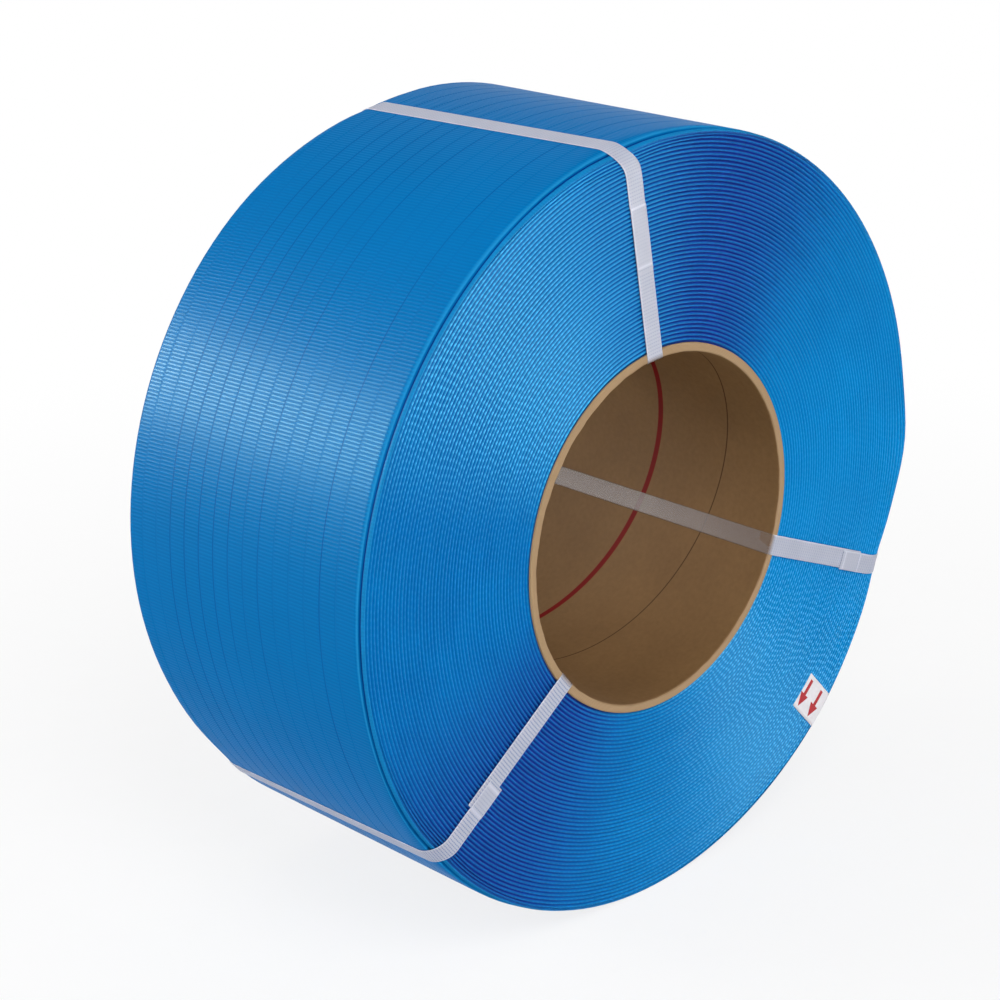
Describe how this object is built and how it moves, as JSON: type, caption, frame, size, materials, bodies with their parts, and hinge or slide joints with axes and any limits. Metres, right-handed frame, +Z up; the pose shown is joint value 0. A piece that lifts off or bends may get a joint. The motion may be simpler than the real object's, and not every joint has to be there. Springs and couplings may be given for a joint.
{
  "type": "polypropylene strapping coil",
  "caption": "Coil of embossed blue polypropylene strapping wound on a kraft paper core tube, held by white welded ties, standing on its rim.",
  "frame": {"origin": "centre of the core tube's bore, at half the tube's length", "axes": "+Z up as the coil stands on its rim; the coil's axis lies along Y; the end with the tie welds and the arrow label faces -Y; +X to the right when that end is looked at"},
  "size_m": [0.443, 0.1911, 0.443],
  "materials": {
    "kraft_paper": "matt wound kraft paperboard",
    "blue_strap": "embossed glossy polypropylene",
    "white_tie": "embossed natural polypropylene, slightly translucent",
    "label_paper": "coated label paper with red arrows"
  },
  "bodies": {
    "root": {"core": "kraft_paper", "winding": "blue_strap", "tie_1": "white_tie", "tie_2": "white_tie", "tie_3": "white_tie", "arrow_label": "label_paper"}
  },
  "joints": []
}
